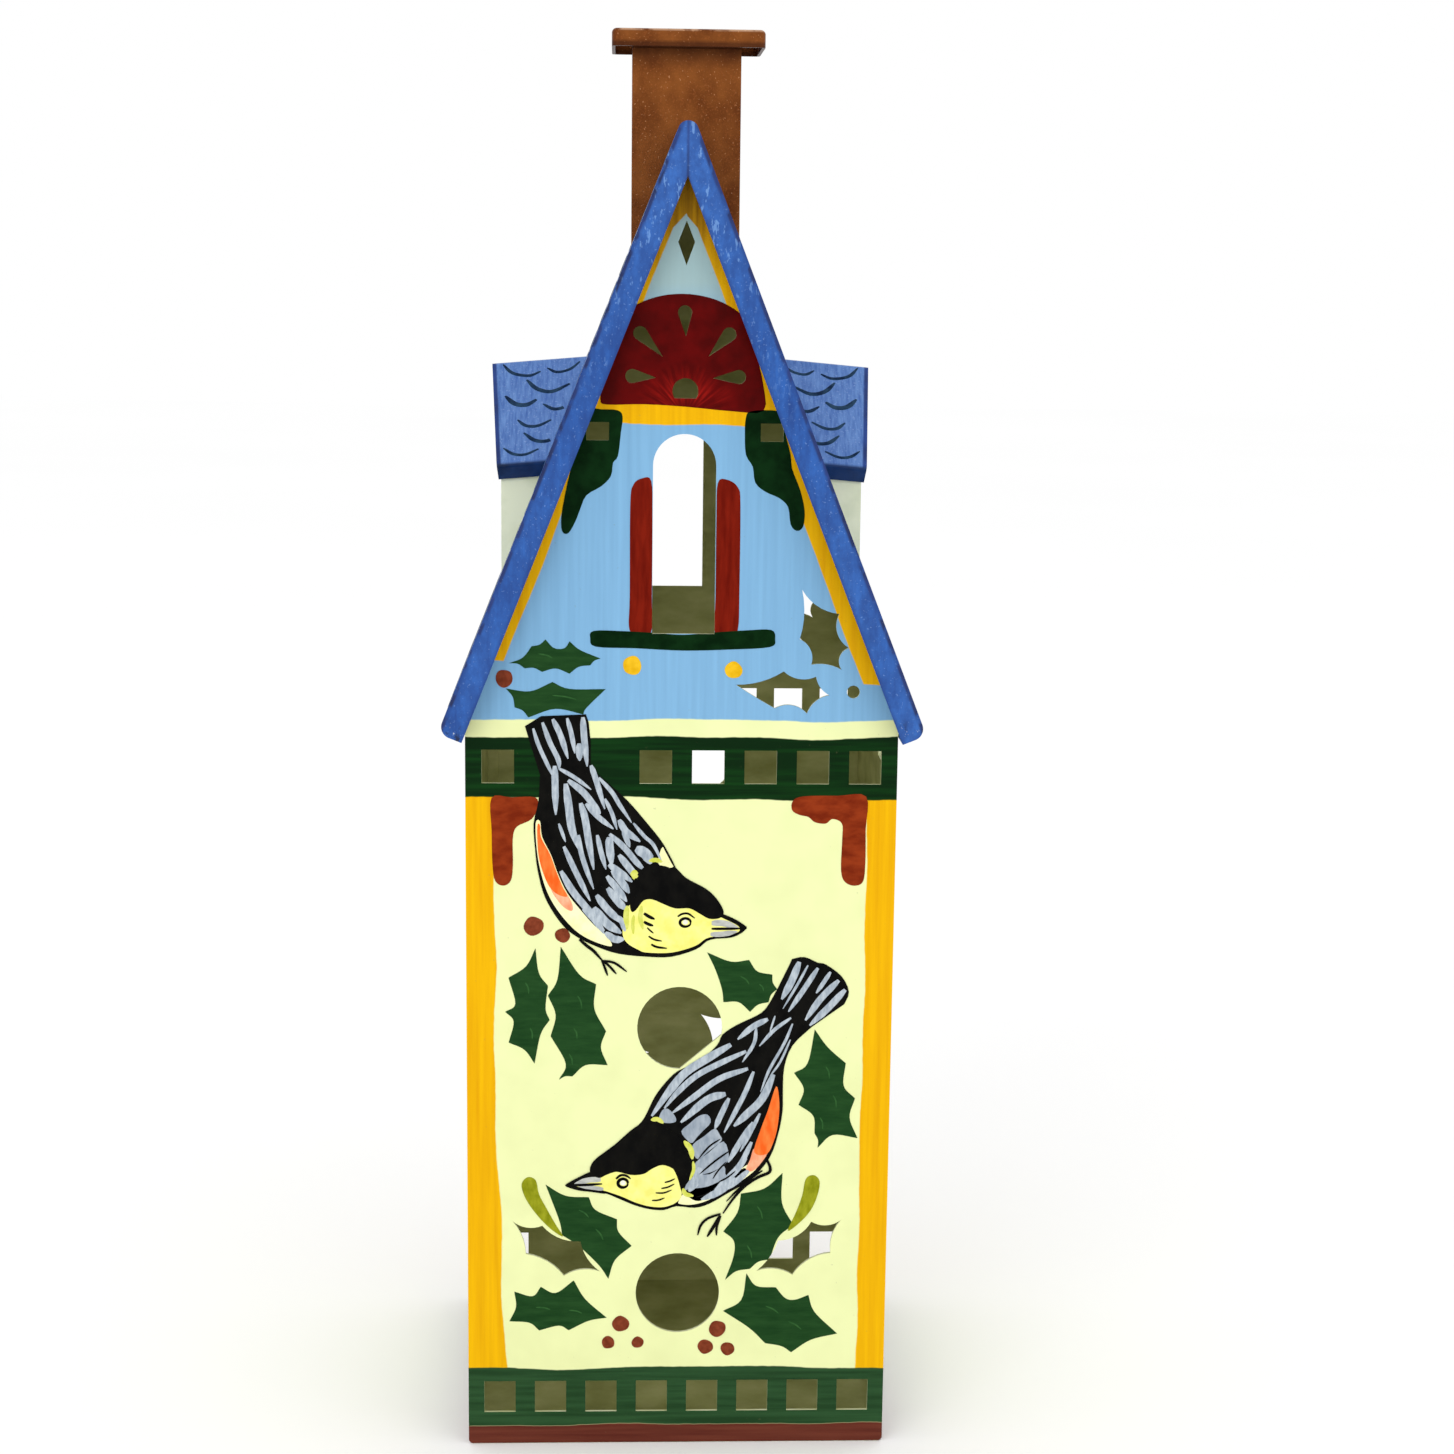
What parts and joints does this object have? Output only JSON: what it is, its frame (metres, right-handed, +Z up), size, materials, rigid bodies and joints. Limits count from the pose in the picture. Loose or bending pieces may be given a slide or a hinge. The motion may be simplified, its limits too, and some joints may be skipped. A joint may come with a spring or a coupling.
{
  "type": "birdhouse",
  "caption": "Tall gabled birdhouse of pierced, painted sheet metal with round entrances, arched window, steep roof, dormers, chimney and a hinged rear clean-out door.",
  "frame": {"origin": "on the ground below the middle of the house", "axes": "+Z up, +X to the right seen from the front, the front wall faces -Y"},
  "size_m": [0.1398, 0.132, 0.4253],
  "materials": {
    "wall_paint": "brushed enamel, satin",
    "inner_paint": "flat olive enamel",
    "roof_paint": "brushed enamel, glossy",
    "dormer_roof_paint": "brushed enamel, glossy",
    "chimney_paint": "copper enamel with sparkle",
    "hinge_metal": "worn plated steel",
    "pin_metal": "bright steel",
    "knob_brass": "turned brass",
    "button_paint": "dark red enamel"
  },
  "bodies": {
    "house": {"front_panel": "wall_paint", "rear_panel": "wall_paint", "left_side_panel": "wall_paint", "right_side_panel": "wall_paint", "floor_pan": "inner_paint", "roof": "roof_paint", "chimney_shaft": "chimney_paint", "chimney_cap": "chimney_paint", "right_dormer_roof": "dormer_roof_paint", "left_dormer_roof": "dormer_roof_paint", "right_dormer_walls": "wall_paint", "left_dormer_walls": "wall_paint", "lower_hinge_frame_leaf": "hinge_metal", "lower_hinge_pin": "pin_metal", "upper_hinge_frame_leaf": "hinge_metal", "upper_hinge_pin": "pin_metal", "frame_leaf_rivets": "pin_metal", "button_pivot": "pin_metal"},
    "door": {"rear_door": "wall_paint", "lower_hinge_door_leaf": "hinge_metal", "upper_hinge_door_leaf": "hinge_metal", "door_leaf_rivets": "pin_metal", "door_knob": "knob_brass"},
    "button": {"turn_button": "button_paint"}
  },
  "joints": [
    {"name": "door_hinge", "type": "hinge", "parent": "house", "child": "door", "pos_m": [-0.0422, 0.0602, 0.067], "axis": [0, 0, 1], "range_deg": [0, 170]},
    {"name": "button_turn", "type": "hinge", "parent": "house", "child": "button", "pos_m": [0.0465, 0.06, 0.067], "axis": [0, 1, 0], "range_deg": [-90, 90]}
  ]
}
